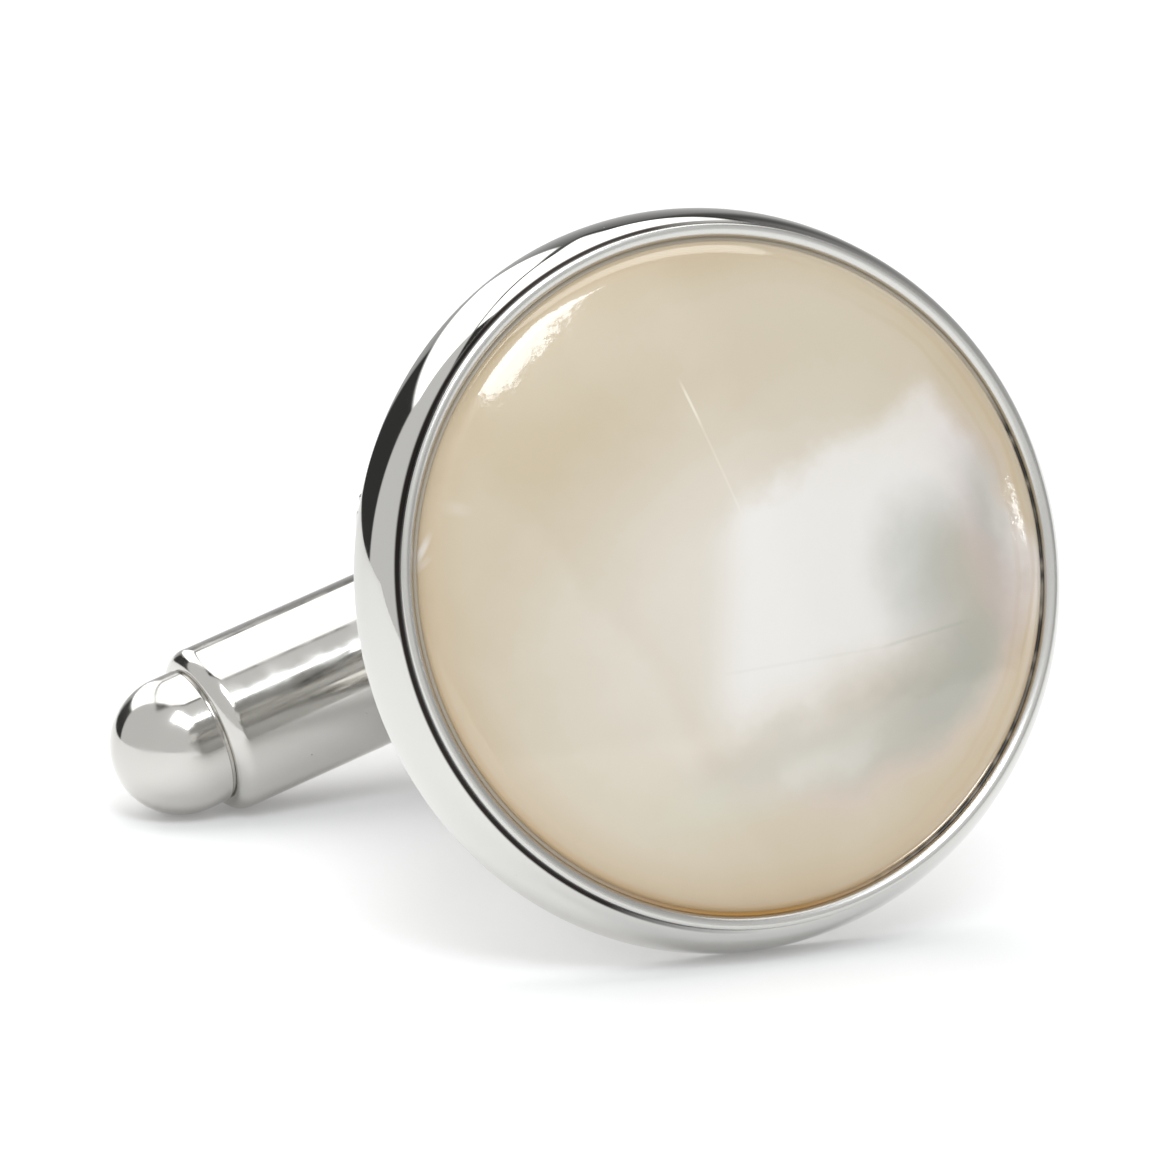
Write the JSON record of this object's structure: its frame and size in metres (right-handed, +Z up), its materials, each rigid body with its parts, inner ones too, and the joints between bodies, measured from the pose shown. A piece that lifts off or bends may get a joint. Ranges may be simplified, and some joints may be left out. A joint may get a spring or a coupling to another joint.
{
  "type": "cufflink",
  "caption": "Round cufflink lying at rest: a domed shell stone in a polished cup, a U-shaped shank behind it and a bullet-ended toggle bar that swings on a pin between the legs.",
  "frame": {"origin": "centre of the box around its footprint, on the floor it rests on", "axes": "+Z up; the stone's face looks towards -Y and tips slightly up, the shank runs back along +Y, and the toggle bar lies along X with its -X end on the floor"},
  "size_m": [0.0196, 0.0242, 0.0179],
  "materials": {
    "polished_plate": "mirror polished, bright white plate",
    "shell": "polished cream mother-of-pearl with a soft sheen",
    "pin_metal": "polished, filed heads",
    "polished_bar": "mirror polished, bright white plate"
  },
  "bodies": {
    "stud": {"setting": "polished_plate", "pearl_cabochon": "shell", "pivot_pin": "pin_metal"},
    "toggle": {"toggle_bar": "polished_bar"}
  },
  "joints": [
    {"name": "toggle_swing", "type": "hinge", "parent": "stud", "child": "toggle", "pos_m": [0, 0.00933, 0.00421], "axis": [-0.2902, 0.2475, 0.9244], "range_deg": [-90, 90]}
  ]
}
